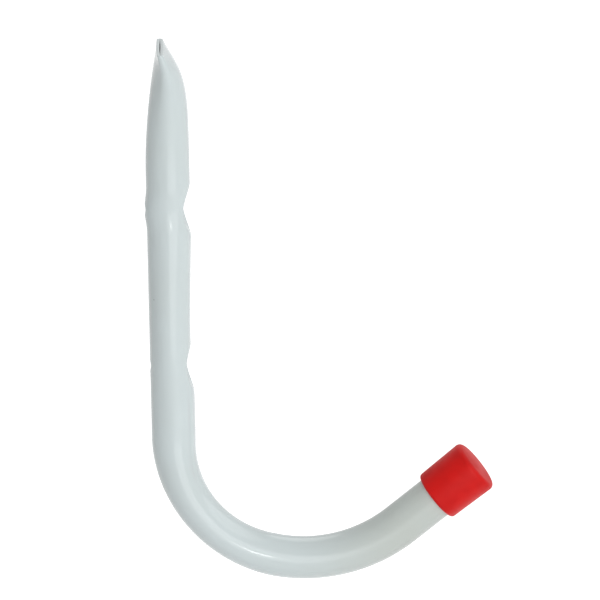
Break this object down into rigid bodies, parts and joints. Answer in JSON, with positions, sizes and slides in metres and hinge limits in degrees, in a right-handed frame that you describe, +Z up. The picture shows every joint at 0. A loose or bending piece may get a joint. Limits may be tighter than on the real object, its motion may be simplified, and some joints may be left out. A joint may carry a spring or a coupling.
{
  "type": "storage hook",
  "caption": "Wall-mounted J-shaped storage hook of bent white tube, pinched at the top, with pressed screw seats and a red slip-on end cap.",
  "frame": {"origin": "on the line of the shank's back, midway between the two fixing holes", "axes": "+X away from the wall, +Z up along the shank, Y across; the hook is symmetric about y = 0"},
  "size_m": [0.1552, 0.0298, 0.2516],
  "materials": {
    "powder_coat": "satin",
    "cap_vinyl": "satin"
  },
  "bodies": {
    "root": {"hook_tube": "powder_coat", "end_cap": "cap_vinyl"}
  },
  "joints": []
}
